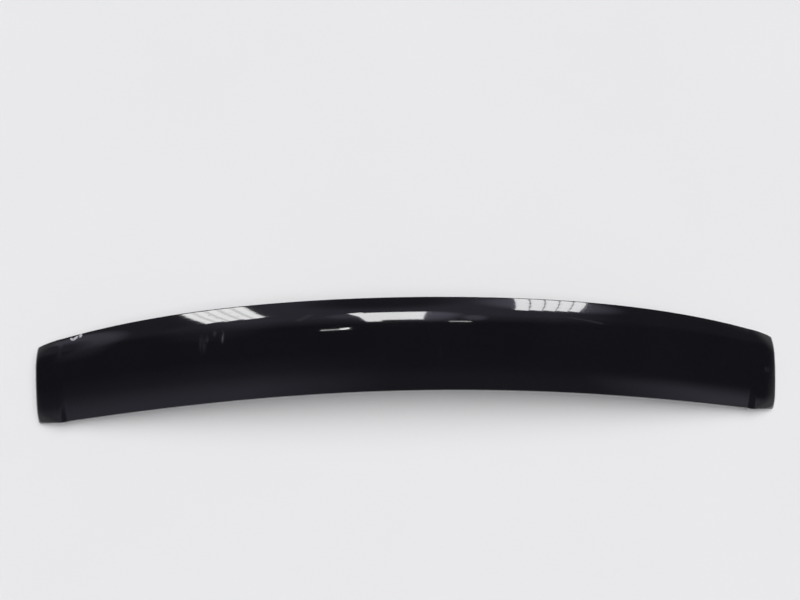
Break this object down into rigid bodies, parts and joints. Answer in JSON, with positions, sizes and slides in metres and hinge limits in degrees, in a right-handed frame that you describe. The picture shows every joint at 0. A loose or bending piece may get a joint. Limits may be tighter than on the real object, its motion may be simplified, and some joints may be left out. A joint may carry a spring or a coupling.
{
  "type": "rear spoiler",
  "caption": "Arched gloss black rear spoiler for a tailgate, with a ramped leading edge between two end feet, a sharp trailing edge, mounting studs and foam seals.",
  "frame": {"origin": "on the plane of the two foot pads, under the middle of the outline", "axes": "+X across the car to the right of the picture, +Y to the trailing edge, +Z out of the painted face"},
  "size_m": [1.1134, 0.166, 0.0834],
  "materials": {
    "painted_body": "high-gloss black paint with clear coat on moulded ABS, dull on the underside",
    "stud_steel": "zinc-plated steel with a rolled thread",
    "seal_foam": "closed-cell foam rubber",
    "tape_foam": "dark grey acrylic foam tape"
  },
  "bodies": {
    "root": {"spoiler_body": "painted_body", "mounting_studs": "stud_steel", "stud_seals": "seal_foam", "leading_edge_tape": "tape_foam", "left_foot_pad": "tape_foam", "right_foot_pad": "tape_foam"}
  },
  "joints": []
}
